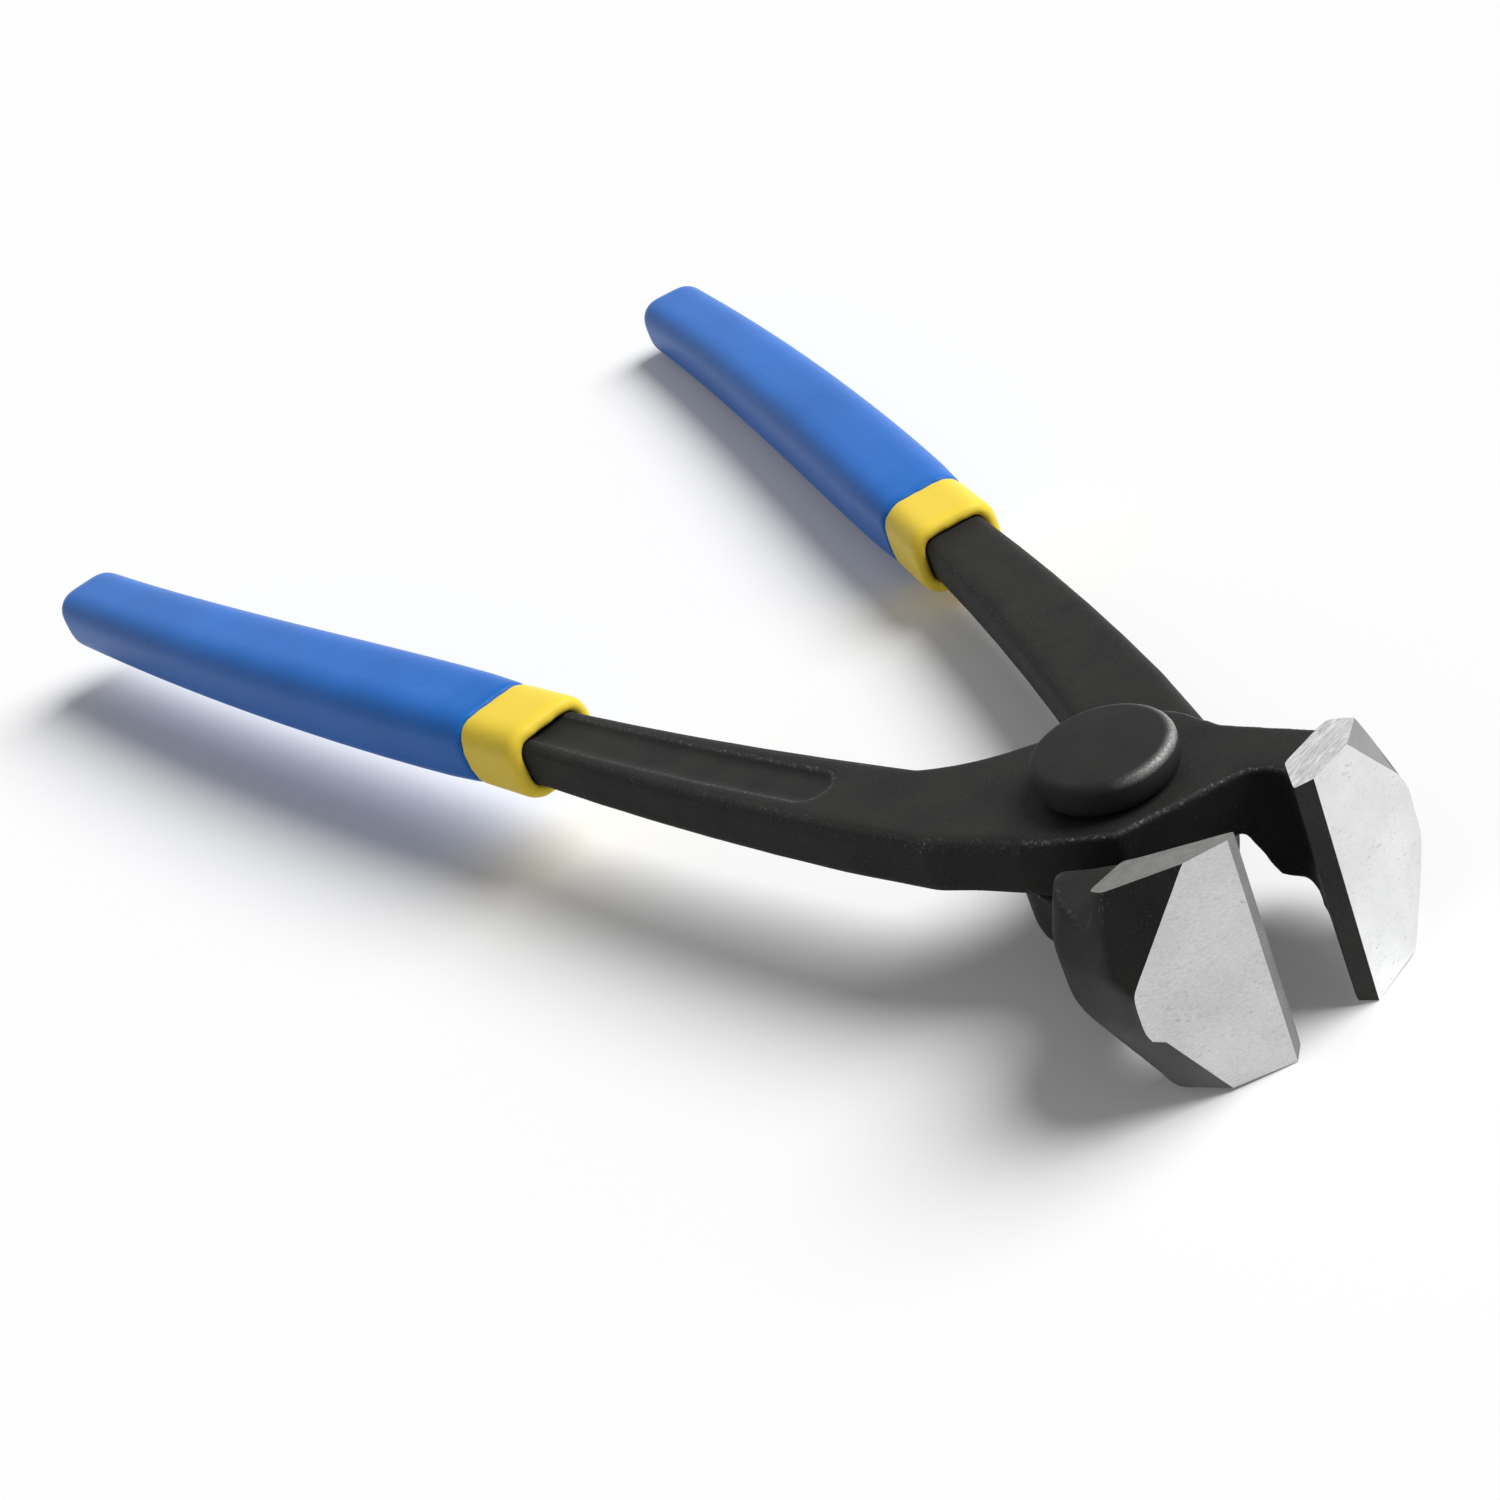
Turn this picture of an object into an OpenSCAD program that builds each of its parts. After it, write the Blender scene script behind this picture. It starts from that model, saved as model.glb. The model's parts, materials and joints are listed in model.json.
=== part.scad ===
// Riveted pincers with blunt lips and two-colour dipped handles.
// Two identical forgings lap flat on each other and turn on one large-headed rivet.
// Frame: Z is the pivot axis, out of the upper rivet head, and X points to the lips.
// The origin is the centre of that head's flat face. Lengths are in millimetres.

/* [Joint] */
// Thickness of each lever where they lap
lever_t = 7.2; // [5:0.1:10]
// Radius of the boss around the rivet
boss_r = 12.5; // [11.5:0.1:14]
// Half of the jaw opening at rest, in degrees
open_half = 8.3; // [4:0.1:10]
// Space between the two lapped faces
lap_gap = 0.1; // [0.05:0.01:0.2]
// Radius of the rivet's shank
shank_r = 4.5; // [3:0.1:6]
// Radial clearance of the shank in the lever that turns on it
bore_gap = 0.05; // [0.02:0.01:0.1]
// Radius of each rivet head
rivet_head_r = 8; // [6.5:0.1:9]
// Height of each rivet head
rivet_head_h = 4.4; // [3:0.1:6]
// Radius of the outer edge of each rivet head
rivet_round = 1.2; // [0.6:0.1:1.8]
// Radius under the rim of each rivet head
rivet_under = 2; // [1:0.1:2.2]

/* [Jaws] */
// Distance from the pivot to the line where the lips meet
lip_reach = 27.1; // [24:0.1:32]
// Half of the height of the lips
lip_half = 14; // [11:0.1:17]
// Depth of the blunt strip along each lip
lip_strip = 1.45; // [0.8:0.05:2.2]
// Backward lean of the ground front face, in degrees
face_lean = 8.7; // [4:0.1:14]
// Rise of the ground top and bottom facets towards the lips
brow_rise = 0.38; // [0.2:0.01:0.45]
// Radius of the round cheek in plan
cheek_r = 13; // [11.5:0.1:14]
// Radius of the fillet where the jaw steps up to its ground facets
step_r = 1.6; // [0.5:0.1:2.5]
// Radius of the corner at the back of the eye
eye_r = 4; // [2.5:0.1:5]

/* [Handles] */
// Distance from the pivot to the end of the grips
handle_reach = 201; // [170:1:240]
// Distance from the middle plane to a closed handle
handle_off = 20.1; // [18:0.1:23]
// Width of the bare handle where the collar starts
handle_w = 9.2; // [7:0.1:12]
// Thickness of the bare handle where the collar starts
handle_t = 6.6; // [5:0.1:7]
// Edge radius of the bare handle
handle_round = 1.6; // [1:0.1:2.4]
// Distance from the pivot to where the handle bends outwards
bend_x = 88; // [80:1:95]
// Outward sweep of the handle from that bend to its end
flare = 5.8; // [2:0.1:9]
// Distance from the pivot to the round end of the sunk panel
panel_x = 34; // [30:1:48]
// Half of the width of the sunk panel
panel_half = 2.6; // [1.5:0.1:3]
// Depth of the sunk panel on the outer face
panel_deep = 0.5; // [0.3:0.1:0.9]

/* [Grips] */
// Distance from the pivot to the front of the collar
collar_x = 79.5; // [70:0.5:95]
// Length of the collar
collar_l = 11.4; // [6:0.1:18]
// Radius of the collar's front edge
collar_round = 1.2; // [0.6:0.1:1.8]
// Wall of the dipped sleeves
dip_wall = 1.9; // [1.2:0.1:2.4]
// Extra wall where the grips are fullest
grip_swell = 0.7; // [0:0.1:1.2]
// Radius of the edge around the flat end of the grips
grip_round = 2.6; // [1:0.1:3]
// Vinyl beyond the end of the steel
end_wall = 6; // [4:0.5:10]
// Space between sleeve and steel
dip_gap = 0.05; // [0.02:0.01:0.1]

/* [Hidden] */
$fn = 72;
eps = 0.01;

steel_black = [0.09, 0.09, 0.09];
steel_grey = [0.2, 0.2, 0.2];
vinyl_blue = [0.05, 0.16, 0.5];
vinyl_yellow = [0.95, 0.8, 0.1];

// Outer face of a lever above the lap plane, and the lap plane below the origin
lever_top = lever_t + lap_gap / 2;
lap_z = -lever_top - rivet_head_h;
// Bar that the levers are cut with, longer than anything they cross
far = 80;

// Jaw: front face, relief that the other boss turns in, and the round body behind the lips
face_x = lip_reach + lip_strip;
relief_gap = 0.3;
relief_r = boss_r + relief_gap;
relief_lean = 0.28;
cheek_c = [18.6, 4.4];
cheek_band = 3;
root_c = [16.2, 3.9];
root_r = cheek_r - 2;
root_h = lever_top - 0.3;
brow_c = [20.4, 3.8];
brow_r = cheek_r - 4.4;
brow_h = lip_half - 2.9;
crown_c = [23.8, 11.2];
crown_r = 1.5;
crown_h = lip_half - 1.4;
lip_block = [3, 7.3];
// Lines behind the ground facets where the jaw steps down, to its arm and to its relieved root
step_turn = [10, -30.7];
step_d = [21.2, 10.65];

// Plan of the head: back wall of the eye and the flat that clears the other jaw
eye_back = [7.5, -7.4];
eye_turn = [14.6, 10.4];
nose_flat = [-1.9, -13.3];
// Outer edge of the arm to the jaw, and the fill between the boss and the crotch
arm_edge = [[4.7, 12.2], [15.7, 15.3]];
arm_foot = [20, 4];
crotch_fill = [[-9.4, 8.4], [-12.3, 4.7]];

// Handle: root inside the boss, shoulder beside it, end of the widening and end of the steel
root = [-4, -9.6];
shoulder = [[-nose_flat.x, nose_flat.y], [8.3, -15.5], [12.6, -17.4]];
neck_x = 26;
neck_w = handle_w + 3.4;
tang_chamfer = 1;
tang_x = handle_reach - end_wall - tang_chamfer;
tang_w = handle_w - 1.6;
tang_t = handle_t - 0.6;
crotch_x = 12.2;
crotch_c = [36.2, 17.3];
crotch_r = 27;
bow_lean = 0.055;
bow_r = 1150;
grip_x = collar_x + collar_l;

// Middle line of a closed handle at a distance x behind the pivot
function off(x) = x < bend_x
    ? -handle_off + bow_lean * (bend_x - x) + pow(bend_x - x, 2) / bow_r
    : -handle_off - flare * sin(90 * (x - bend_x) / (handle_reach - bend_x));

// Width and thickness of the steel
function steel_w(x) = lookup(x, [[neck_x, neck_w], [collar_x, handle_w], [tang_x, tang_w]]);
function steel_t(x) = lookup(x, [[neck_x, lever_t], [collar_x, handle_t], [tang_x, tang_t]]);

// Inner edge, round the crotch, and outer edge down to the flat of the nose
function inner_y(x) = x < crotch_x ? inner_y(crotch_x)
    : x > crotch_c.x ? off(x) + steel_w(x) / 2
    : max(off(x) + steel_w(x) / 2, crotch_c.y - sqrt(pow(crotch_r, 2) - pow(crotch_c.x - x, 2)));
function outer_y(x) = x > neck_x ? off(x) - steel_w(x) / 2
    : lookup(x, concat([root], shoulder, [[neck_x, off(neck_x) - neck_w / 2]]));

// Wall of the vinyl, fullest in the front half of the grip
function wall(x) = x < grip_x ? dip_wall
    : dip_wall + grip_swell * sin(180 * pow((x - grip_x) / (handle_reach - grip_x), 0.6));

// Rounded section across a handle at x, grown by g on every side and shrunk to a share k
function section(x, g, k = 1) =
    let (y = (inner_y(x) + outer_y(x)) / 2,
         half_t = steel_t(x) / 2 + g,
         z = (lever_t + lap_gap) / 2,
         r = k * min(handle_round + g, 0.95 * half_t),
         hy = k * ((inner_y(x) - outer_y(x)) / 2 + g) - r,
         hz = k * half_t - r)
    [for (c = [[1, 1, 0], [-1, 1, 90], [-1, -1, 180], [1, -1, 270]]) for (a = [0 : 18 : 90])
        [-x, y + c.x * hy + r * cos(a + c.z), z + c.y * hz + r * sin(a + c.z)]];

// Solid through a row of sections, closed at both ends
module loft(rings) {
    n = len(rings[0]);
    m = len(rings);
    polyhedron(
        points = [for (r = rings) each r],
        faces = concat(
            [[for (i = [n - 1 : -1 : 0]) i]],
            [for (j = [0 : m - 2]) for (i = [0 : n - 1])
                [j * n + i, j * n + (i + 1) % n, (j + 1) * n + (i + 1) % n, (j + 1) * n + i]],
            [[for (i = [0 : n - 1]) (m - 1) * n + i]]),
        convexity = 6);
}

// Steel of the handle from the boss to the end of the tang
module handle_steel(g = 0) {
    loft(concat(
        [section(root.x, g)],
        [for (p = shoulder) section(p.x, g)],
        [for (x = [shoulder[2].x + 1 : 2 : neck_x]) section(x, g)],
        [for (i = [1 : 16]) section(neck_x + (tang_x - neck_x) * i / 16, g)],
        [section(tang_x + tang_chamfer, g, 0.8)]));
}

// Sunk panel on the outer face of the bare handle, with a round end towards the boss
module panel() {
    run = collar_x + panel_half - panel_x;
    steps = 6;
    stations = [for (i = [0 : steps]) panel_x + run * i / steps];
    translate([0, 0, (lever_t + lap_gap + handle_t) / 2 - panel_deep])
        linear_extrude(lever_t)
            polygon(concat(
                [for (x = stations) [-x, off(x) + panel_half]],
                [for (i = [steps : -1 : 0]) [-stations[i], off(stations[i]) - panel_half]],
                [for (a = [-75 : 15 : 75]) panel_half * [cos(a), sin(a)] + [-panel_x, off(panel_x)]]));
}

// Space between the jaws: the flat below the nose, the eye and the blunt strip of the lip
module mouth_plan() {
    corner = eye_turn;
    to_back = (eye_back - corner) / norm(eye_back - corner);
    to_lip = ([lip_reach, 0] - corner) / norm([lip_reach, 0] - corner);
    half = acos(to_back * to_lip) / 2;
    mid = (to_back + to_lip) / norm(to_back + to_lip);
    centre = corner + mid * eye_r / sin(half);
    start = atan2(-mid.y, -mid.x) + 90 - half;
    polygon(concat(
        [nose_flat - [far, far] / 4, nose_flat, eye_back],
        [for (i = [0 : 8])
            centre + eye_r * [cos(start - i * (180 - 2 * half) / 8),
                              sin(start - i * (180 - 2 * half) / 8)]],
        [[lip_reach, 0], [face_x, lip_strip], [far, lip_strip], [far, -far]]));
}

// Plan of one lever around the rivet: boss, arm to the jaw and fill towards the crotch
module head_plan() {
    difference() {
        union() {
            circle(boss_r);
            polygon(concat([[0, 0], [0, boss_r - eps]], arm_edge, [arm_foot]));
            polygon(concat([[0, 0]], crotch_fill));
        }
        mouth_plan();
    }
}

// Side view of the jaw with the facets that rise to the lips
module brow_side() {
    foot = face_x - (lip_half - lever_top) / brow_rise;
    top = [[0, lever_top], [foot, lever_top], [face_x, lip_half], [far, lip_half]];
    polygon(concat(top, [for (i = [len(top) - 1 : -1 : 0]) [top[i].x, -top[i].y]]));
}

// Side view of the cut behind the ground facets, with a fillet between its floor and its wall
module step_side() {
    difference() {
        translate([-far, 0])
            square(far);
        translate([-step_r, 0])
            difference() {
                square(step_r);
                translate([0, step_r])
                    circle(step_r);
            }
    }
}

// Jaw as deep as both levers. The other boss and handle swing in its turned relief.
module jaw() {
    difference() {
        intersection() {
            hull() {
                translate(cheek_c)
                    cylinder(r = cheek_r, h = 2 * cheek_band, center = true, $fn = 64);
                translate(root_c)
                    cylinder(r = root_r, h = 2 * root_h, center = true, $fn = 64);
                translate(brow_c)
                    cylinder(r = brow_r, h = 2 * brow_h, center = true, $fn = 48);
                translate(crown_c)
                    cylinder(r = crown_r, h = 2 * crown_h, center = true, $fn = 24);
                translate([face_x - lip_block.x, 0, -lip_half])
                    cube([lip_block.x, lip_block.y, 2 * lip_half]);
            }
            rotate([90, 0, 0])
                linear_extrude(far, center = true)
                    brow_side();
        }
        for (m = [0, 1])
            mirror([0, 0, m])
                rotate(step_turn[m])
                    translate([step_d[m], far / 2, lever_top])
                        rotate([90, 0, 0])
                            linear_extrude(far)
                                step_side();
        translate([face_x, lip_strip, 0])
            rotate(face_lean)
                translate([0, -far / 2, -far / 2])
                    cube(far);
        translate([0, 0, -far / 2])
            linear_extrude(far)
                mouth_plan();
        translate([0, 0, -far])
            cylinder(r1 = relief_r + relief_lean * far, r2 = relief_r, h = far + lap_gap / 2);
    }
}

// One forged lever in the closed position, above the lap plane
module lever(hole_r) {
    difference() {
        union() {
            translate([0, 0, lap_gap / 2])
                linear_extrude(lever_t)
                    head_plan();
            jaw();
            handle_steel();
        }
        translate([0, 0, -far / 2])
            cylinder(r = hole_r, h = far);
        panel();
    }
}

// Sleeve around the tang between two distances behind the pivot
module sleeve(rings) {
    difference() {
        loft(rings);
        handle_steel(dip_gap);
    }
}

// Collar with a rounded front edge
module collar() {
    sleeve(concat(
        [for (a = [0, 20, 45, 70, 90])
            section(collar_x + collar_round * (1 - cos(a)), dip_wall * (0.3 + 0.7 * sin(a)))],
        [section((collar_x + grip_x) / 2, dip_wall), section(grip_x, dip_wall)]));
}

// Grip with a flat closed end and a rounded edge around it
module grip() {
    x1 = handle_reach - grip_round;
    sleeve(concat(
        [for (i = [0 : 16]) let (x = grip_x + (x1 - grip_x) * i / 16) section(x, wall(x))],
        [for (a = [15 : 15 : 90])
            section(x1 + grip_round * sin(a), wall(x1) - grip_round * (1 - cos(a)))]));
}

// Places of the two halves at rest: the lower one is the upper one turned over about X
module upper() {
    translate([0, 0, lap_z])
        rotate(open_half)
            children();
}

module lower() {
    translate([0, 0, lap_z])
        rotate([180, 0, 0])
            rotate(open_half)
                children();
}

module upper_lever() {
    color(steel_black)
        upper()
            lever(shank_r);
}

module lower_lever() {
    color(steel_black)
        lower()
            lever(shank_r + bore_gap);
}

// Flat rivet head, rounded at its edge and more so under its rim
module rivet_head() {
    rotate_extrude()
        difference() {
            square([rivet_head_r, rivet_head_h]);
            translate([rivet_head_r - rivet_round, rivet_head_h - rivet_round])
                difference() {
                    square(rivet_round + eps);
                    circle(rivet_round);
                }
            translate([rivet_head_r - rivet_under, -eps])
                difference() {
                    square([rivet_under + eps, rivet_under + eps]);
                    translate([0, rivet_under + eps])
                        circle(rivet_under);
                }
        }
}

// Rivet with a head on each side, tight in the upper lever
module pivot_rivet() {
    color(steel_grey)
        translate([0, 0, lap_z]) {
            cylinder(r = shank_r, h = 2 * lever_top + rivet_head_h, center = true);
            translate([0, 0, lever_top])
                rivet_head();
            mirror([0, 0, 1])
                translate([0, 0, lever_top + lap_gap])
                    rivet_head();
        }
}

module upper_collar() {
    color(vinyl_yellow)
        upper()
            collar();
}

module lower_collar() {
    color(vinyl_yellow)
        lower()
            collar();
}

module upper_grip() {
    color(vinyl_blue)
        upper()
            grip();
}

module lower_grip() {
    color(vinyl_blue)
        lower()
            grip();
}

upper_lever();
lower_lever();
pivot_rivet();
upper_collar();
lower_collar();
upper_grip();
lower_grip();
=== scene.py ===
import json
import math

import bmesh
import bpy
from mathutils import Matrix, Vector
from mathutils.noise import noise as noise_at


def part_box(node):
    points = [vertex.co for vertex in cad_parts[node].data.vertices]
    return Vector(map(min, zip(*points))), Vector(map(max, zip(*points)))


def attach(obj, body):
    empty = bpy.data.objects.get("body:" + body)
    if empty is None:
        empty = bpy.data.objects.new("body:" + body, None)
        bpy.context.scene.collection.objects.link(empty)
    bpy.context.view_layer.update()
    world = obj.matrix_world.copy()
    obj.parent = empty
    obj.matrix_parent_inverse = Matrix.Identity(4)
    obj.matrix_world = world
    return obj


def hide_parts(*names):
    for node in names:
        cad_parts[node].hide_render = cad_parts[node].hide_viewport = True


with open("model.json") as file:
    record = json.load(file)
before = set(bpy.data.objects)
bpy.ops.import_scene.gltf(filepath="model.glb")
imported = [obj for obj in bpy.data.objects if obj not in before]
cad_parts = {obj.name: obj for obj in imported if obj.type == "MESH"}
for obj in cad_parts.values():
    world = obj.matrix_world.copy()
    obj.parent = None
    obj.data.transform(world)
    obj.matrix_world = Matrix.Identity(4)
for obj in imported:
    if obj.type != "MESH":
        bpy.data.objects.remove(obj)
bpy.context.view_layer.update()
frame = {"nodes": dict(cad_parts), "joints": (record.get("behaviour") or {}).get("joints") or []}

# Levers: two identical drop forgings in tool steel, lapped flat on each other at the pivot.
# They are shot blasted and blacked all over. Each jaw is then ground bright on its front and on
# the facets above and below it, by hand, so the two differ a little. The lips stay blunt and dull.
# The jaws' ground faces, facets and lips get tones of their own as painted light and shade, and the
# near top facet a beige tint as painted reflection. The lower outer flank is painted paler as bounce
# light from the floor.
MM = 0.001
BLAST_GRAIN = 0.2 * MM
BLAST_DEPTH = 0.05 * MM
OXIDE_CLOUD = 6.0 * MM
FLECK_SIZE = 0.26 * MM
RUB_SIZE = 0.4 * MM
DARK_OXIDE = (0.74, 0.75, 0.74)
PALE_OXIDE = (1.28, 1.28, 1.2)
PAINTED_BOUNCE_GREY = (0.17, 0.17, 0.17, 1)
WORN_OXIDE = (0.05, 0.05, 0.05, 1)
FLECK = (0.1, 0.1, 0.095, 1)
BARE_STEEL = (0.3, 0.3, 0.29, 1)


class Wire:
    """One output in a node tree. Arithmetic on wires adds Math nodes."""

    def __init__(self, tree, output=None):
        self.tree = tree
        self.output = output

    def node(self, kind, settings, sockets, out=0):
        """Adds a node, sets its options, then its sockets, and gives a wire from one output."""
        made = self.tree.nodes.new("ShaderNode" + kind)
        for name, value in settings.items():
            setattr(made, name, value)
        for name, value in sockets.items():
            feed(made.inputs[name], value)
        return Wire(self.tree, made.outputs[out])

    def maths(self, operation, a, b):
        return self.node("Math", {"operation": operation}, {0: a, 1: b})

    def __add__(self, other):
        return self.maths("ADD", self, other)

    def __sub__(self, other):
        return self.maths("SUBTRACT", self, other)

    def __rsub__(self, other):
        return self.maths("SUBTRACT", other, self)

    def __mul__(self, other):
        return self.maths("MULTIPLY", self, other)

    __radd__ = __add__
    __rmul__ = __mul__

    def over(self, low, high):
        """This value from 0 at low to 1 at high, held between them."""
        return self.node("MapRange", {}, {"Value": self, "From Min": low, "From Max": high})

    def mix(self, first, second):
        """The first colour where this wire is 0 and the second where it is 1."""
        settings = {"data_type": "RGBA", "clamp_factor": True}
        return self.node("Mix", settings, {0: self, 6: first, 7: second}, out=2)

    def place(self):
        """Points on the piece, in its Object coordinates."""
        return self.node("TexCoord", {}, {}, out="Object")

    def layer(self, name):
        """A value that the piece's mesh keeps at its vertices."""
        return self.node("Attribute", {"attribute_name": name}, {}, out="Fac")


def feed(socket, value):
    """Links a wire to a socket, or sets a plain number or colour on it."""
    if isinstance(value, Wire):
        value.tree.links.new(value.output, socket)
    else:
        socket.default_value = value


def connect(shader, **sockets):
    """Feeds a shader's sockets, named with underscores for spaces."""
    for name, value in sockets.items():
        feed(shader.inputs[name.replace("_", " ")], value)


def new_finish(name):
    """A new material, its shader and a source for its wires."""
    material = bpy.data.materials.new(name)
    material.use_nodes = True
    tree = material.node_tree
    return material, tree.nodes["Principled BSDF"], Wire(tree)


def noise(place, size, detail=2.0, rough=0.5):
    """Noise whose blobs are about a size across, in metres."""
    sockets = {"Vector": place, "Scale": 1 / size, "Detail": detail, "Roughness": rough}
    return place.node("TexNoise", {}, sockets)


def bump(height, depth, strength):
    """Normal of a surface raised by a height from 0 to 1, times a depth in metres."""
    return height.node("Bump", {}, {"Height": height, "Distance": depth, "Strength": strength})


def toned(tint, tone):
    """A tint at a brightness, as a socket takes it."""
    return (*(tone * c for c in tint), 1)


def oxide_skin(source, place, shade):
    """Grain and cloud of a blasted skin, and the colour of the oxide on it, with painted bounce
    light from the floor on the lower outer flank.
    """
    grain = noise(place, BLAST_GRAIN, 3.0, 0.65)
    cloud = noise(place, OXIDE_CLOUD, 3.0)
    fleck = noise(place, FLECK_SIZE, 1.0).over(0.66, 0.74)
    mottle = (cloud * 0.45 + grain * 0.55).over(0.35, 0.65)
    film = mottle.mix(toned(DARK_OXIDE, shade), toned(PALE_OXIDE, shade))
    # Painted light: the lower outer flank is lifted toward grey, standing in for light bounced up
    # from the floor.
    film = (source.layer("painted_bounce") * (0.55 + cloud * 0.6)).mix(film, PAINTED_BOUNCE_GREY)
    return grain, cloud, (fleck * 0.3).mix(film, FLECK)


def blacked_steel(name, shade):
    """Blasted steel under a matt black oxide that has rubbed bare along the edges."""
    material, shader, source = new_finish(name)
    place = source.place()
    grain, cloud, film = oxide_skin(source, place, shade)
    edge = source.layer("wear_and_highlight").over(0.4, 1.0)
    bare = edge * noise(place, RUB_SIZE, 4.0, 0.75).over(0.55, 0.68)
    film = (edge * 0.4).mix(film, WORN_OXIDE)
    connect(
        shader,
        Base_Color=(bare * 0.6).mix(film, BARE_STEEL),
        Metallic=bare * 0.5,
        Roughness=0.5 + grain * 0.16 - edge * 0.12,
        Specular_IOR_Level=0.07,
        Normal=bump(grain + cloud * 0.4, BLAST_DEPTH, 0.7),
    )
    return material


def dull_steel(name, shade):
    """The same oxide on a lip, where no edge has rubbed."""
    material, shader, source = new_finish(name)
    grain, cloud, film = oxide_skin(source, source.place(), shade)
    connect(
        shader,
        Base_Color=film,
        Roughness=0.5 + grain * 0.16,
        Specular_IOR_Level=0.07,
        Normal=bump(grain + cloud * 0.4, BLAST_DEPTH, 0.7),
    )
    return material


SCRATCH_SIZE = 0.16 * MM
SCRATCH_DEPTH = 0.015 * MM
SCRATCH_DRAW = (1, 1, 0.07)
PIT_SIZE = 0.28 * MM
PIT_DRAW = (1, 1, 0.12)
PIT_PATCH = 3.2 * MM
TONE_PATCH = 6.0 * MM
SCRATCH_BRIGHT = (0.9, 0.9, 0.895, 1)
SCRATCH_DARK = (0.24, 0.24, 0.24, 1)
PIT_GREY = (0.2, 0.2, 0.2, 1)


def ground_steel(name, tint, turn, tone, coarse, rough):
    """Steel off a belt: bright, with slanting scratches and a few small pits."""
    material, shader, source = new_finish(name)
    place = source.place()
    turned = source.node("Mapping", {}, {"Vector": place, "Rotation": turn})
    drawn = source.node("Mapping", {}, {"Vector": turned, "Scale": SCRATCH_DRAW})
    dashed = source.node("Mapping", {}, {"Vector": turned, "Scale": PIT_DRAW})
    scratch = noise(drawn, SCRATCH_SIZE, 4.0, 0.75)
    pit = noise(dashed, PIT_SIZE, 2.0, 0.6).over(0.63, 0.72)
    mark = pit * noise(place, PIT_PATCH).over(0.42, 0.6)
    patch = noise(place, TONE_PATCH, 3.0).over(0.3, 0.7)
    steel = patch.mix(toned(tint, tone * 0.9), toned(tint, tone * 1.04))
    steel = (scratch.over(0.42, 0.72) * coarse).mix(steel, SCRATCH_BRIGHT)
    steel = ((1 - scratch).over(0.55, 0.75) * coarse).mix(steel, SCRATCH_DARK)
    connect(
        shader,
        Base_Color=(mark * 0.55).mix(steel, PIT_GREY),
        Metallic=1 - mark * 0.4,
        Roughness=rough + scratch * 0.18 + mark * 0.15,
        Normal=bump(scratch - mark * 0.6, SCRATCH_DEPTH, 0.6),
    )
    return material


WELD = 0.004 * MM
ON_PLANE = 1e-4 * MM


def merged_copy(node):
    """A bmesh of a node with its loose triangles joined."""
    mesh = bmesh.new()
    mesh.from_mesh(frame["nodes"][node].data)
    bmesh.ops.remove_doubles(mesh, verts=mesh.verts, dist=WELD)
    return mesh


def finished(mesh, name, materials, body, node):
    """Makes the piece that stands for a node, with its materials and body."""
    for face in mesh.faces:
        face.smooth = True
    data = bpy.data.meshes.new(name)
    mesh.to_mesh(data)
    mesh.free()
    for material in materials:
        data.materials.append(material)
    piece = bpy.data.objects.new(name, data)
    bpy.context.collection.objects.link(piece)
    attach(piece, body)
    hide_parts(node)


def only(kind, items):
    """The verts, edges or faces among the mixed results of a bmesh operator."""
    return [item for item in items if isinstance(item, kind)]


def held(value):
    """A value held between 0 and 1."""
    return min(1.0, max(0.0, value))


def resurfaced(mesh, cell):
    """The mesh rebuilt as even small quads, so that its edges can be rounded anywhere."""
    data = bpy.data.meshes.new("rough")
    mesh.to_mesh(data)
    mesh.free()
    rough = bpy.data.objects.new("rough", data)
    bpy.context.collection.objects.link(rough)
    remesh = rough.modifiers.new("even_quads", "REMESH")
    remesh.mode = "VOXEL"
    remesh.voxel_size = cell
    even = rough.evaluated_get(bpy.context.evaluated_depsgraph_get())
    mesh = bmesh.new()
    mesh.from_mesh(even.data)
    bpy.data.objects.remove(rough)
    bpy.data.meshes.remove(data)
    return mesh


def soften(mesh, verts, steps):
    """Rounds the edges among the verts, a little with each step."""
    for _ in range(steps):
        bmesh.ops.smooth_vert(
            mesh, verts=verts, factor=0.5, use_axis_x=True, use_axis_y=True, use_axis_z=True
        )
    mesh.normal_update()


def grind(mesh, planes, keep, finish):
    """Takes off what lies outside one plane, or outside both of two, where keep allows it."""
    faces = [face for face in mesh.faces if keep(face.calc_center_median())]
    for point, way in planes:
        edges = {edge for face in faces for edge in face.edges}
        verts = {vert for face in faces for vert in face.verts}
        geom = [*faces, *edges, *verts]
        cut = bmesh.ops.bisect_plane(mesh, geom=geom, plane_co=point, plane_no=way)
        faces = only(bmesh.types.BMFace, cut["geom"])

    def outside(face):
        return all((face.calc_center_median() - point).dot(way) > 0 for point, way in planes)

    bmesh.ops.delete(mesh, geom=[face for face in faces if outside(face)], context="FACES")
    rim = [edge for edge in mesh.edges if edge.is_boundary]
    on_plane = [
        {vert for edge in rim for vert in edge.verts if abs((vert.co - point).dot(way)) < ON_PLANE}
        for point, way in planes
    ]
    inner_edge = []
    if len(planes) > 1:
        inner_edge = [mesh.edges.new(on_plane[0] & on_plane[1])]
    for verts in on_plane:
        loop = [edge for edge in rim if verts.issuperset(edge.verts)] + inner_edge
        for flat in bmesh.ops.holes_fill(mesh, edges=loop)["faces"]:
            flat.material_index = finish
            for edge in flat.edges:
                edge.smooth = False


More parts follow.
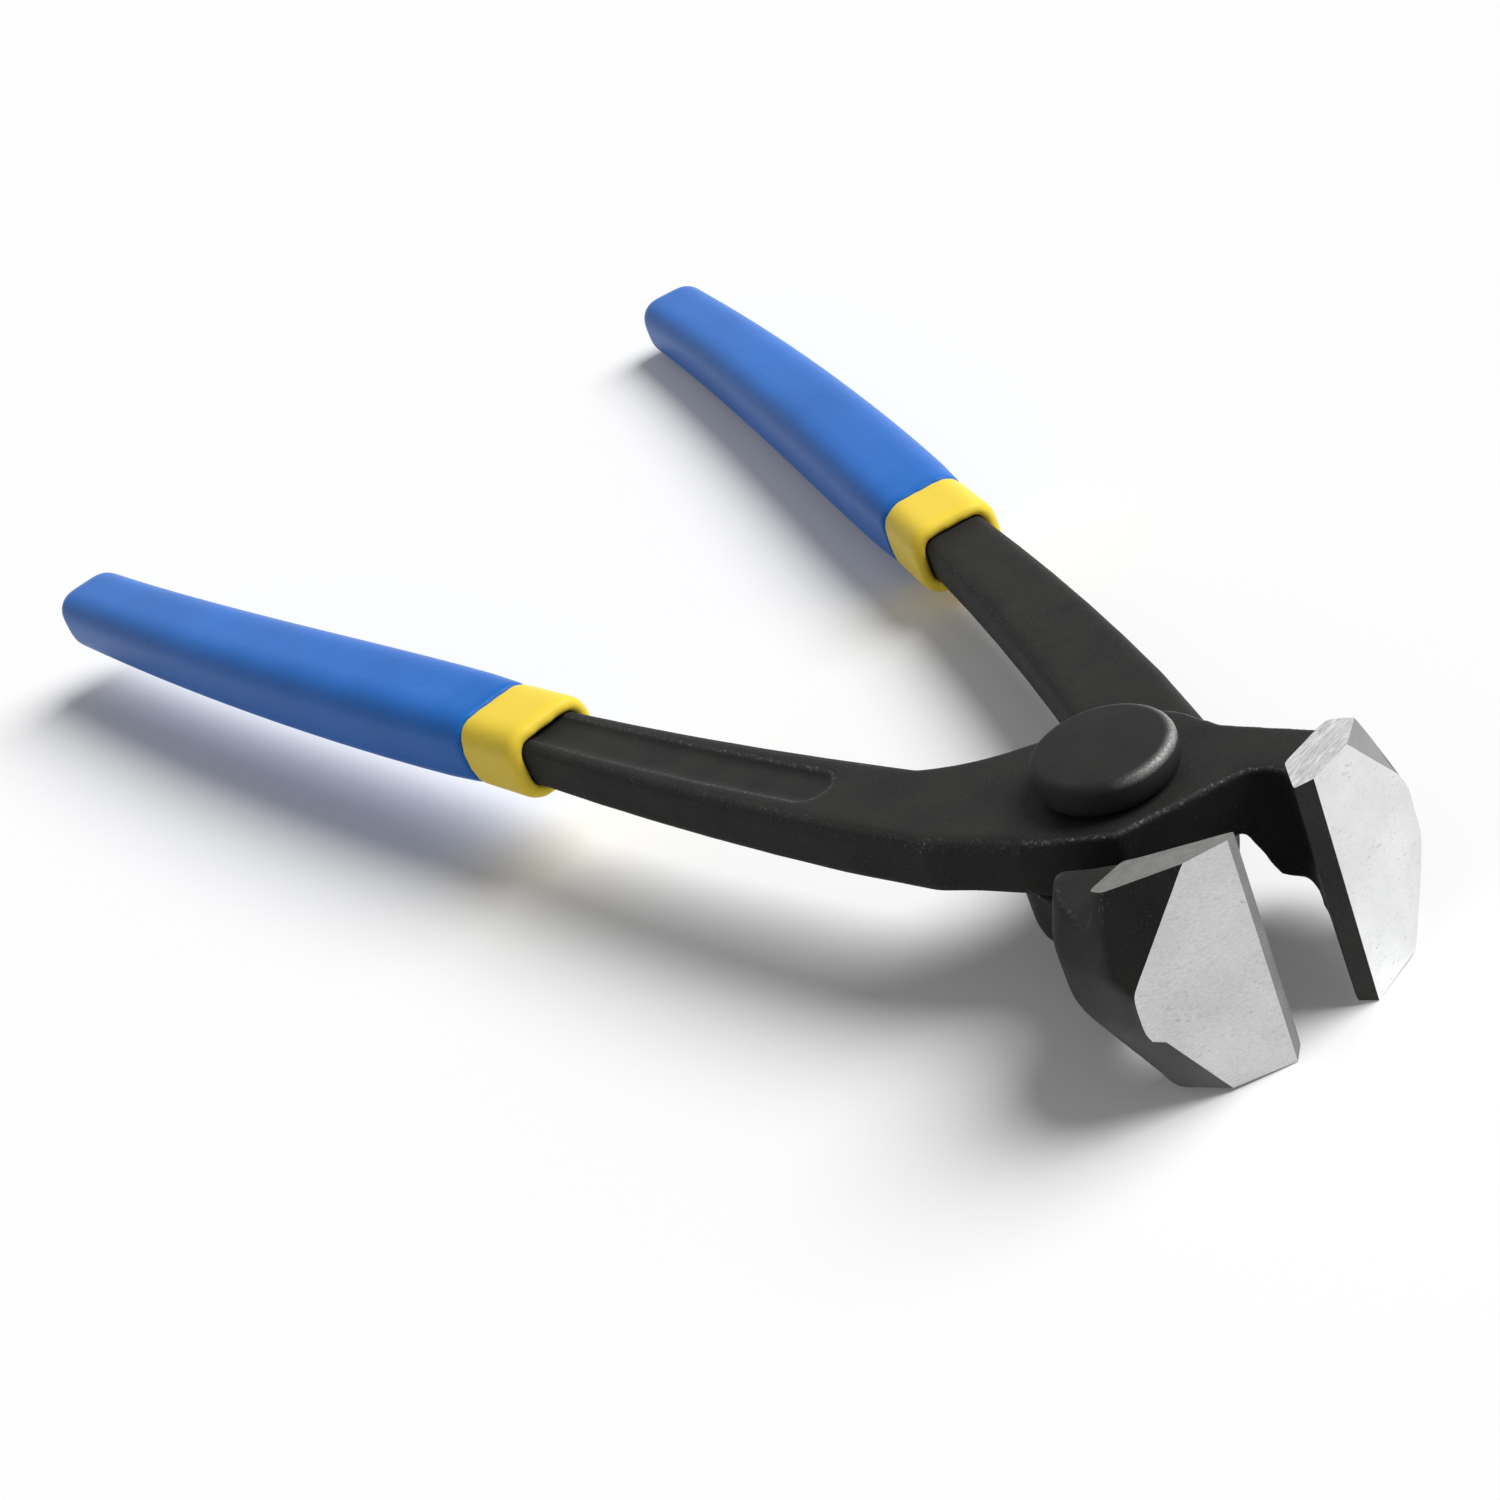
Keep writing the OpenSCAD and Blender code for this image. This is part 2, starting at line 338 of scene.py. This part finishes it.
OXIDE, FACE, FACET, LIP, CORNER = range(5)
LAP_Z = frame["joints"][0]["pos_m"][2]
JAW_OPEN = math.radians(8.3)
JAW_ROOT_X = 15.5 * MM
FACE_X = 28.55 * MM
FACE_LEAN = math.radians(8.7)
LIP_STRIP = 1.45 * MM
LIP_HALF = 14.0 * MM
BROW_RISE = 0.38
BROW_DEPTH = 0.02 * MM
GRIND_STOCK = 1.0 * MM
FLAT_FACING = 0.999
FORGING_CELL = 0.34 * MM
SOFTEN_STEPS = 11
EDGE_LOSS = 0.12 * MM
LUMP_SIZE = 3.0 * MM
LUMP_HEIGHT = 0.012 * MM
CROTCH_CORNER = Vector((-12.2, 4.9)) * MM
CROTCH_BLEND = 3.0 * MM
RELIEF_R = 12.8 * MM
RELIEF_LEAN = 0.28
RELIEF_BAND = 1.2 * MM
DRESS_STEPS = 30
BOUNCE_FROM = -1.0 * MM
BOUNCE_OVER = 24.0 * MM
BOUNCE_FADE = 8.0 * MM
BOUNCE_FACING = 0.3
CUT_FACING = 0.97
CUT_FADE = 0.1


def forging(node, turned_over, rough_cuts, corner_cut):
    """A lever with the soft edges of a blasted forging, then ground flat on its jaw.

    Cuts are planes, each a point in millimetres and a facing, in the lever's own frame. Rough ones
    are softened with the forging. The corner, outside all the planes of its cut, is ground off last.
    """
    turn = Matrix.Rotation(JAW_OPEN, 4, "Z")
    if turned_over:
        turn = Matrix.Rotation(math.pi, 4, "X") @ turn
    to_frame = Matrix.Translation((0, 0, LAP_Z)) @ turn
    to_lever = to_frame.inverted()

    def facing(x, y, z):
        return (turn @ Vector((x, y, z))).normalized()

    def placed(planes):
        return [(to_frame @ (Vector(point) * MM), facing(*way)) for point, way in planes]

    def on_jaw(point):
        return (to_lever @ point).x > JAW_ROOT_X

    def dressed(point):
        beyond = point.xy.length - RELIEF_R + RELIEF_LEAN * point.z
        by_relief = point.x > 0 and point.z < 0 and abs(beyond) < RELIEF_BAND
        return by_relief or (point.xy - CROTCH_CORNER).length < CROTCH_BLEND

    outward = facing(0, 1, 0)
    front = facing(math.cos(FACE_LEAN), math.sin(FACE_LEAN), 0)
    lip = facing(1, -1, 0)
    brows = [facing(-BROW_RISE, 0, side) for side in (1, -1)]
    mesh = merged_copy(node)
    mesh.normal_update()
    for way in (front, lip, *brows):
        flats = [face for face in mesh.faces if face.normal.dot(way) > FLAT_FACING]
        stock = [face for face in flats if on_jaw(face.calc_center_median())]
        raised = bmesh.ops.extrude_face_region(mesh, geom=stock)["geom"]
        bmesh.ops.translate(mesh, verts=only(bmesh.types.BMVert, raised), vec=way * GRIND_STOCK)
    mesh = resurfaced(mesh, FORGING_CELL)
    rough_planes = placed(rough_cuts)
    for plane in rough_planes:
        grind(mesh, [plane], on_jaw, OXIDE)
        mesh = resurfaced(mesh, FORGING_CELL)
    soften(mesh, [vert for vert in mesh.verts if dressed(to_lever @ vert.co)], DRESS_STEPS)

    wear_and_highlight = mesh.verts.layers.float.new("wear_and_highlight")
    painted_bounce = mesh.verts.layers.float.new("painted_bounce")
    as_forged = [vert.co.copy() for vert in mesh.verts]
    soften(mesh, mesh.verts, SOFTEN_STEPS)
    for vert, forged in zip(mesh.verts, as_forged):
        vert[wear_and_highlight] = held((forged - vert.co).dot(vert.normal) / EDGE_LOSS)
        # Painted bounce light: the lower outer flank of the jaw is marked to be painted paler,
        # except on the faces of the rough cuts.
        low_down = held((BOUNCE_FROM - vert.co.z) / BOUNCE_OVER)
        past_root = held(((to_lever @ vert.co).x - JAW_ROOT_X) / BOUNCE_FADE)
        vert[painted_bounce] = low_down * past_root * held(outward.dot(vert.normal) / BOUNCE_FACING)
        for point, way in rough_planes:
            vert[painted_bounce] *= held((CUT_FACING - way.dot(vert.normal)) / CUT_FADE)
        vert.co += vert.normal * noise_at(vert.co / LUMP_SIZE) * LUMP_HEIGHT

    for side, brow in zip((1, -1), brows):
        brow_edge = to_frame @ Vector((FACE_X, 0, side * (LIP_HALF - BROW_DEPTH)))
        grind(mesh, [(brow_edge, brow)], on_jaw, FACET)
    face_edge = to_frame @ Vector((FACE_X, LIP_STRIP, 0))
    grind(mesh, [(face_edge, lip)], on_jaw, LIP)
    grind(mesh, [(face_edge, front)], on_jaw, FACE)
    grind(mesh, placed(corner_cut), on_jaw, CORNER)
    return mesh


HOLLOW_CHEEK = ((27.7, 6.9, -12.8), (0.957, 0.811, -0.479))
CROWN_FACET = ((27.4, 8.3, 12.84), (0.711, 0.599, 0.369))
LOWER_CHAMFER = ((26.76, 13.17, 4.86), (0.759, 0.595, 0.262))
CHAMFER_STEP = ((26.76, 13.17, 4.86), (0.58, 0.494, 0.649))
FACE_SCRATCH = (math.radians(92), 0.0, 0.0)
FAR_SCRATCH = (math.radians(94), math.radians(17), 0.0)
NEAR_SCRATCH = (math.radians(94), math.radians(-17), 0.0)
COOL, BEIGE_REFLECTION_TINT = (0.995, 1.0, 1.005), (1.0, 0.985, 0.94)
blacked = blacked_steel("blacked_forging", shade=0.021)
# Painted light and shade: the far face is toned lighter than the near one, the far crown facet
# darker than its face, and the near lip lighter than the far lip. The near facet is toned dark and
# beige as a painted reflection.
upper_finishes = [
    blacked,
    ground_steel("far_face", COOL, FACE_SCRATCH, tone=0.76, coarse=0.3, rough=0.36),
    ground_steel("far_facet", COOL, FAR_SCRATCH, tone=0.42, coarse=0.9, rough=0.6),
    dull_steel("far_lip", shade=0.04),
    ground_steel("far_corner", COOL, FAR_SCRATCH, tone=0.28, coarse=0.1, rough=0.5),
]
lower_finishes = [
    blacked,
    ground_steel("near_face", COOL, FACE_SCRATCH, tone=0.53, coarse=0.3, rough=0.36),
    ground_steel("near_facet", BEIGE_REFLECTION_TINT, NEAR_SCRATCH, tone=0.17, coarse=0.2, rough=0.6),
    dull_steel("near_lip", shade=0.2),
    blacked,
]
mesh = forging("upper_lever", False, [], [CROWN_FACET])
finished(mesh, "upper_lever_forging", upper_finishes, "upper_half", "upper_lever")
mesh = forging("lower_lever", True, [HOLLOW_CHEEK], [LOWER_CHAMFER, CHAMFER_STEP])
finished(mesh, "lower_lever_forging", lower_finishes, "lower_half", "lower_lever")

# Rivet: a turned steel pin with a flat head on each side, headed over tight in the upper lever.
# It is blacked with the forgings and rubbed bright along each rim. The rub is made strong on the
# side facing the lamp and slight on the other, as a painted highlight.
RIVET_HEAD_R = 8.0 * MM
RIVET_HEAD_H = 4.4 * MM
RIVET_ROUND = 1.2 * MM
RIVET_UNDER = 2.0 * MM
SHANK_R = 4.5 * MM
SHANK_HALF = 7.25 * MM
RIVET_STEPS = 128
RIVET_WELD = 0.11 * MM
HIGHLIGHT_SIDE = Vector((0.5, 0.87))
RUB_FACING = 0.52
RUB_SPREAD = 0.34
RUB_PEAK = 1.4
UNLIT_SIDE_RUB = 0.05
RIVET_CLOUD = 5.0 * MM
RIVET_DEPTH = 0.04 * MM
DARK_RIVET = (0.8, 0.8, 0.79)
PALE_RIVET = (1.2, 1.2, 1.15)
RUBBED_AND_HIGHLIT_STEEL = (0.48, 0.48, 0.47, 1)


def rivet_half(mesh, base, way):
    """One head, spun about the pivot from its base on the lever, with the shank up to the lap."""
    quarter = [math.radians(degrees) for degrees in range(0, 91, 15)]
    flat_r = RIVET_HEAD_R - RIVET_UNDER
    under = [(flat_r + RIVET_UNDER * math.sin(a), RIVET_UNDER * (1 - math.cos(a))) for a in quarter]
    rim_r = RIVET_HEAD_R - RIVET_ROUND
    rim_h = RIVET_HEAD_H - RIVET_ROUND
    rim = [(rim_r + RIVET_ROUND * math.cos(a), rim_h + RIVET_ROUND * math.sin(a)) for a in quarter]
    outline = [(SHANK_R, -SHANK_HALF), (SHANK_R, 0), *under, *rim, (0, RIVET_HEAD_H)]
    verts = [mesh.verts.new((r, 0, base + way * h)) for r, h in outline]
    edges = [mesh.edges.new(pair) for pair in zip(verts, verts[1:])]
    bmesh.ops.spin(
        mesh,
        geom=verts + edges,
        cent=(0, 0, 0),
        axis=(0, 0, 1),
        angle=math.tau,
        steps=RIVET_STEPS,
        use_merge=True,
    )


def rubbed_and_highlit_rivet(name, shade):
    """Matt black oxide, rubbed through to grey steel in grains along the rim, with a painted
    highlight where the rub is strongest.
    """
    material, shader, source = new_finish(name)
    place = source.place()
    grain = noise(place, BLAST_GRAIN, 3.0, 0.65)
    cloud = noise(place, RIVET_CLOUD, 3.0)
    # Partly painted highlight: the rubbed rim turns bright grey and metallic, most on one side.
    polish_and_highlight = source.layer("wear_and_highlight") * (0.3 + (grain * 0.75 + cloud * 0.25).over(0.38, 0.64) * 0.7)
    mottle = (cloud * 0.4 + grain * 0.6).over(0.35, 0.65)
    film = mottle.mix(toned(DARK_RIVET, shade), toned(PALE_RIVET, shade))
    connect(
        shader,
        Base_Color=polish_and_highlight.mix(film, RUBBED_AND_HIGHLIT_STEEL),
        Metallic=polish_and_highlight * 0.9,
        Roughness=0.52 + grain * 0.12 - polish_and_highlight * 0.22,
        Specular_IOR_Level=0.07,
        Normal=bump(grain + cloud * 0.4, RIVET_DEPTH, 0.6),
    )
    return material


mesh = bmesh.new()
low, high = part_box("pivot_rivet")
rivet_half(mesh, high.z - RIVET_HEAD_H, 1)
rivet_half(mesh, low.z + RIVET_HEAD_H, -1)
bmesh.ops.remove_doubles(mesh, verts=mesh.verts, dist=RIVET_WELD)
bmesh.ops.recalc_face_normals(mesh, faces=mesh.faces)
mesh.normal_update()
wear_and_highlight = mesh.verts.layers.float.new("wear_and_highlight")
# The rub along the rim is wear; its weight toward one side of the rim is a painted highlight.
for vert in mesh.verts:
    outer = vert.normal.z if vert.co.z > LAP_Z else -vert.normal.z
    rim = held(RUB_PEAK - abs(outer - RUB_FACING) / RUB_SPREAD)
    side = HIGHLIGHT_SIDE.dot(vert.co.xy.normalized())
    vert[wear_and_highlight] = rim * held(UNLIT_SIDE_RUB + (1 - UNLIT_SIDE_RUB) * side)
rivet_finish = rubbed_and_highlit_rivet("rubbed_and_highlit_rivet", shade=0.022)
finished(mesh, "headed_rivet", [rivet_finish], "upper_half", "pivot_rivet")

# Collars and grips: the tang of each lever is dipped in soft vinyl, first the long blue grip
# and then a short yellow collar at its front. The dip sets to a satin skin with round edges.
DIP_CELL = 0.38 * MM
DIP_STEPS = 12
PEEL_SIZE = 0.9 * MM
PEEL_DEPTH = 0.05 * MM
DRIFT_SIZE = 16.0 * MM
SCUFF_SIZE = 0.35 * MM
YELLOW = (0.84, 0.62, 0.05)
BLUE = (0.01, 0.125, 0.47)


def dipped_vinyl(name, colour, lift):
    """Soft vinyl with faint orange peel, a slight drift of colour and a lightly scuffed skin."""
    material, shader, source = new_finish(name)
    place = source.place()
    peel = noise(place, PEEL_SIZE)
    drift = noise(place, DRIFT_SIZE, 3.0)
    scuff = noise(place, SCUFF_SIZE, 4.0, 0.7)
    paler = [min(1.0, c * lift + 0.01) for c in colour]
    connect(
        shader,
        Base_Color=drift.over(0.3, 0.7).mix((*colour, 1), (*paler, 1)),
        Roughness=0.22 + drift * 0.12 + scuff * 0.16,
        Specular_IOR_Level=0.12,
        Normal=bump(peel + scuff * 0.3, PEEL_DEPTH, 0.5),
    )
    return material


yellow_dip = dipped_vinyl("yellow_dip", YELLOW, lift=1.06)
blue_dip = dipped_vinyl("blue_dip", BLUE, lift=1.16)
for node, body, dip, slot in (
    ("upper_collar", "upper_half", yellow_dip, "vinyl_yellow"),
    ("lower_collar", "lower_half", yellow_dip, "vinyl_yellow"),
    ("upper_grip", "upper_half", blue_dip, "vinyl_blue"),
    ("lower_grip", "lower_half", blue_dip, "vinyl_blue"),
):
    mesh = resurfaced(merged_copy(node), DIP_CELL)
    soften(mesh, mesh.verts, DIP_STEPS)
    finished(mesh, node + "_dip", [dip], body, node)

# Floor: a plain white sheet. The tool lies on the lower edges of both jaws and on the end of
# the lower grip, so the sheet rises a little from the jaws to the handles.
FLOOR_FRONT = Vector((26.0, -25.67)) * MM
FLOOR_BACK = Vector((-190.0, -20.2)) * MM
FLOOR_REACH = 6.0
SHEET_WHITE = (0.86, 0.86, 0.86, 1)
SHEET_GLOW = 0.08
BLACK, WHITE = (0, 0, 0, 1), (1, 1, 1, 1)
SIGHT_RAYS = ("Is Camera Ray", "Is Glossy Ray", "Is Transmission Ray")


def in_sight(source):
    """1 for rays from the camera, a mirror or glass, and 0 for the rays that carry light."""
    seen, glossy, through = (source.node("LightPath", {}, {}, out=ray) for ray in SIGHT_RAYS)
    return source.maths("MINIMUM", seen + glossy + through, 1.0)


mesh = bmesh.new()
bmesh.ops.create_grid(mesh, x_segments=1, y_segments=1, size=FLOOR_REACH)
run, rise = FLOOR_BACK - FLOOR_FRONT
for vert in mesh.verts:
    vert.co.z = FLOOR_FRONT.y + rise / run * (vert.co.x - FLOOR_FRONT.x)
sheet = bpy.data.meshes.new("floor")
mesh.to_mesh(sheet)
mesh.free()
paper, shader, source = new_finish("white_sheet")
connect(
    shader,
    Base_Color=SHEET_WHITE,
    Roughness=0.9,
    Specular_IOR_Level=0.0,
    Emission_Color=in_sight(source).mix(BLACK, WHITE),
    Emission_Strength=SHEET_GLOW,
)
sheet.materials.append(paper)
floor = bpy.data.objects.new("floor", sheet)
bpy.context.collection.objects.link(floor)

# Light: one large soft lamp, high and to the right behind the tool, and a dim white room. The
# room shows as plain white behind the tool and in its reflections.
KEY_FROM = Vector((0.3, 0.75, 0.9))
KEY_STRENGTH = 3.6
KEY_SPREAD = math.radians(40)
ROOM_LIGHT = 0.2
room = bpy.data.worlds.new("room")
room.use_nodes = True
shown = in_sight(Wire(room.node_tree))
backdrop = room.node_tree.nodes["Background"]
connect(backdrop, Color=WHITE, Strength=ROOM_LIGHT + shown * (1 - ROOM_LIGHT))
bpy.context.scene.world = room

lamp = bpy.data.lights.new("key_lamp", "SUN")
lamp.energy = KEY_STRENGTH
lamp.angle = KEY_SPREAD
key = bpy.data.objects.new("key_lamp", lamp)
key.rotation_euler = KEY_FROM.to_track_quat("Z", "Y").to_euler()
bpy.context.collection.objects.link(key)

# Camera: the photograph's place and lens. The place is taken from the flat of the upper rivet
# head, and the lens from the width of the picture in pixels.
CAMERA_PLACE = Vector((218.62, -118.06, 154.91)) * MM
CAMERA_AIM = Vector((-0.8145, 0.3057, -0.4930))
CAMERA_ROLL = math.radians(-22.69)
CAMERA_RANGE = (0.01, 50)
FOCAL_PIXELS = 2800
IMAGE_PIXELS = 1500
SENSOR = 36.0
lens = bpy.data.cameras.new("camera")
lens.sensor_width = SENSOR
lens.lens = FOCAL_PIXELS / IMAGE_PIXELS * SENSOR
lens.clip_start, lens.clip_end = CAMERA_RANGE
camera = bpy.data.objects.new("camera", lens)
ahead = CAMERA_AIM.normalized()
across = ahead.cross(Vector((0, 0, 1))).normalized()
upright = across.cross(ahead)
right = math.cos(CAMERA_ROLL) * across + math.sin(CAMERA_ROLL) * upright
up = math.cos(CAMERA_ROLL) * upright - math.sin(CAMERA_ROLL) * across
camera_turn = Matrix((right, up, -ahead)).transposed().to_4x4()
camera.matrix_world = Matrix.Translation(CAMERA_PLACE) @ camera_turn
bpy.context.collection.objects.link(camera)
bpy.context.scene.camera = camera
bpy.context.scene.view_settings.view_transform = "Standard"
